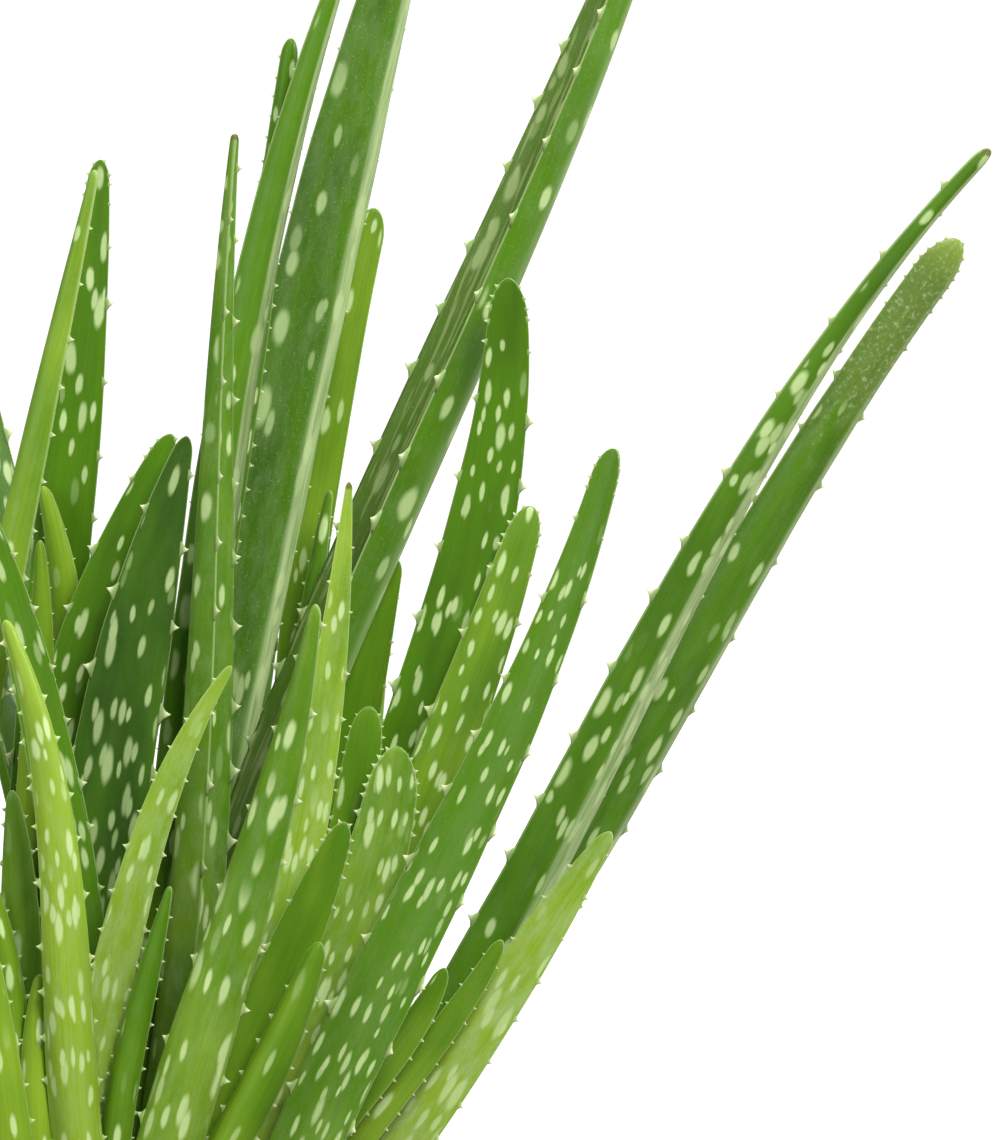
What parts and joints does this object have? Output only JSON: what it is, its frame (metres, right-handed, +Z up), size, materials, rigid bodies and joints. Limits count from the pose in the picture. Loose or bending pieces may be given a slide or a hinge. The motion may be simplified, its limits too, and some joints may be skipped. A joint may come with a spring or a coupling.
{
  "type": "potted aloe plant",
  "caption": "Dense clump of fleshy, upright, spotted aloe leaves with toothed margins, growing from short stems in a plain round clay pot.",
  "frame": {"origin": "centre of the pot's flat underside", "axes": "+Z up, the front of the plant faces -Y, its longest side leaves lean towards +X"},
  "size_m": [0.4511, 0.2668, 0.4797],
  "materials": {
    "leaf": "smooth, slightly waxy green leaf with pale oblong spots and a pale toothed margin",
    "young_leaf": "smooth yellow-green young leaf with many pale spots",
    "potting_mix": "dark crumbly potting mix with bark and grit",
    "clay_pot": "unglazed matt terracotta"
  },
  "bodies": {
    "root": {"heart_far_left": "young_leaf", "heart_front": "young_leaf", "heart_front_left": "young_leaf", "heart_left": "young_leaf", "heart_left_front": "young_leaf", "heart_mother": "young_leaf", "heart_right": "young_leaf", "heart_right_back": "young_leaf", "heart_right_front": "young_leaf", "leaf_far_left_1": "leaf", "leaf_far_left_2": "leaf", "leaf_far_left_3": "leaf", "leaf_far_left_4": "leaf", "leaf_far_left_5": "leaf", "leaf_front_1": "leaf", "leaf_front_2": "leaf", "leaf_front_3": "leaf", "leaf_front_4": "leaf", "leaf_front_5": "leaf", "leaf_front_6": "leaf", "leaf_left_1": "leaf", "leaf_left_2": "leaf", "leaf_left_3": "leaf", "leaf_left_4": "leaf", "leaf_left_5": "leaf", "leaf_left_6": "leaf", "leaf_left_front_1": "leaf", "leaf_left_front_2": "leaf", "leaf_left_front_3": "leaf", "leaf_left_front_4": "leaf", "leaf_mother_1": "leaf", "leaf_mother_2": "leaf", "leaf_mother_3": "leaf", "leaf_mother_4": "leaf", "leaf_mother_5": "leaf", "leaf_mother_6": "leaf", "leaf_mother_7": "leaf", "leaf_mother_8": "leaf", "leaf_mother_9": "leaf", "leaf_right_1": "leaf", "leaf_right_2": "leaf", "leaf_right_3": "leaf", "leaf_right_4": "leaf", "leaf_right_back_1": "leaf", "leaf_right_back_2": "leaf", "leaf_right_back_3": "leaf", "leaf_right_back_4": "leaf", "leaf_right_back_5": "leaf", "leaf_right_front_1": "leaf", "leaf_right_front_2": "leaf", "leaf_right_front_3": "leaf", "leaf_right_front_4": "leaf", "offset_back": "young_leaf", "offset_back_left": "young_leaf", "offset_back_right": "young_leaf", "pot": "clay_pot", "soil": "potting_mix"}
  },
  "joints": []
}
